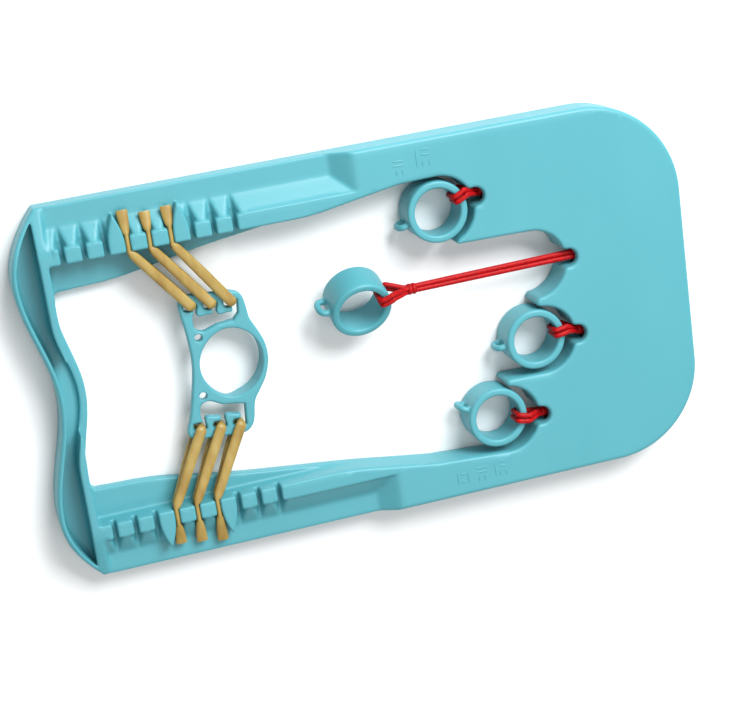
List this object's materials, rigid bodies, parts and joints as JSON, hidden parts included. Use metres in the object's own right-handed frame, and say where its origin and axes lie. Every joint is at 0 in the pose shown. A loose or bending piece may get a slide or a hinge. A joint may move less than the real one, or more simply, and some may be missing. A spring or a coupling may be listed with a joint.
{
  "type": "finger exerciser",
  "caption": "Moulded board for hand exercise: finger rings on elastic loops run into pockets of a closed head, and a collared thumb plate hangs on latex straps between two slotted arms.",
  "frame": {"origin": "centre of the board's footprint, on the plane of its rear rim", "axes": "+Z is the front of the board, +X runs from the wrist bar to the closed head, +Y points at the index-finger arm"},
  "size_m": [0.3199, 0.1772, 0.0283],
  "materials": {
    "board_plastic": "glossy injection-moulded turquoise plastic",
    "moving_plastic": "glossy injection-moulded turquoise plastic",
    "red_rubber": "smooth red elastic",
    "latex": "translucent amber latex"
  },
  "bodies": {
    "board": {"frame": "board_plastic", "elastic_index": "red_rubber", "elastic_middle": "red_rubber", "elastic_third": "red_rubber", "elastic_little": "red_rubber", "latex_band_index_side_1": "latex", "latex_band_index_side_2": "latex", "latex_band_index_side_3": "latex", "latex_band_little_side_1": "latex", "latex_band_little_side_2": "latex", "latex_band_little_side_3": "latex"},
    "thumb_rest": {"thumb_plate": "moving_plastic"},
    "pull_index": {"sleeve_index": "red_rubber"},
    "finger_ring_index": {"ring_index": "moving_plastic"},
    "pull_middle": {"sleeve_middle": "red_rubber"},
    "finger_ring_middle": {"ring_middle": "moving_plastic"},
    "pull_third": {"sleeve_third": "red_rubber"},
    "finger_ring_third": {"ring_third": "moving_plastic"},
    "pull_little": {"sleeve_little": "red_rubber"},
    "finger_ring_little": {"ring_little": "moving_plastic"}
  },
  "joints": [
    {"name": "thumb_plate_slide", "type": "slide", "parent": "board", "child": "thumb_rest", "axis": [1, 0, 0], "range_m": [-0.03, 0.018], "stiffness_N_per_m": 180, "deforming": ["latex_band_index_side_1", "latex_band_index_side_2", "latex_band_index_side_3", "latex_band_little_side_1", "latex_band_little_side_2", "latex_band_little_side_3"]},
    {"name": "ring_index_pull", "type": "slide", "parent": "board", "child": "pull_index", "axis": [0.9936, 0.1132, 0], "range_m": [-0.03, 0], "stiffness_N_per_m": 50, "deforming": ["elastic_index"]},
    {"name": "ring_index_twist", "type": "hinge", "parent": "pull_index", "child": "finger_ring_index", "pos_m": [0.0383, 0.0527, 0.0089], "axis": [0.9936, 0.1132, 0], "range_deg": [-15, 15], "stiffness_Nm_per_rad": 0.01, "deforming": ["elastic_index"]},
    {"name": "ring_middle_pull", "type": "slide", "parent": "board", "child": "pull_middle", "axis": [0.999, -0.0087, -0.0436], "range_m": [0, 0.08], "stiffness_N_per_m": 50, "springref_m": 0.08, "deforming": ["elastic_middle"]},
    {"name": "ring_middle_twist", "type": "hinge", "parent": "pull_middle", "child": "finger_ring_middle", "pos_m": [-0.0056, 0.0177, 0.0138], "axis": [0.999, -0.0087, -0.0436], "range_deg": [-54, 6], "stiffness_Nm_per_rad": 0.01, "deforming": ["elastic_middle"]},
    {"name": "ring_third_pull", "type": "slide", "parent": "board", "child": "pull_third", "axis": [0.9994, -0.0349, 0], "range_m": [-0.08, 0], "stiffness_N_per_m": 50, "deforming": ["elastic_third"]},
    {"name": "ring_third_twist", "type": "hinge", "parent": "pull_third", "child": "finger_ring_third", "pos_m": [0.0788, -0.0184, 0.0089], "axis": [0.9994, -0.0349, 0], "range_deg": [-15, 15], "stiffness_Nm_per_rad": 0.01, "deforming": ["elastic_third"]},
    {"name": "ring_little_pull", "type": "slide", "parent": "board", "child": "pull_little", "axis": [0.9945, -0.1045, 0], "range_m": [-0.08, 0], "stiffness_N_per_m": 50, "deforming": ["elastic_little"]},
    {"name": "ring_little_twist", "type": "hinge", "parent": "pull_little", "child": "finger_ring_little", "pos_m": [0.055, -0.0532, 0.0089], "axis": [0.9945, -0.1045, 0], "range_deg": [-15, 15], "stiffness_Nm_per_rad": 0.01, "deforming": ["elastic_little"]}
  ]
}
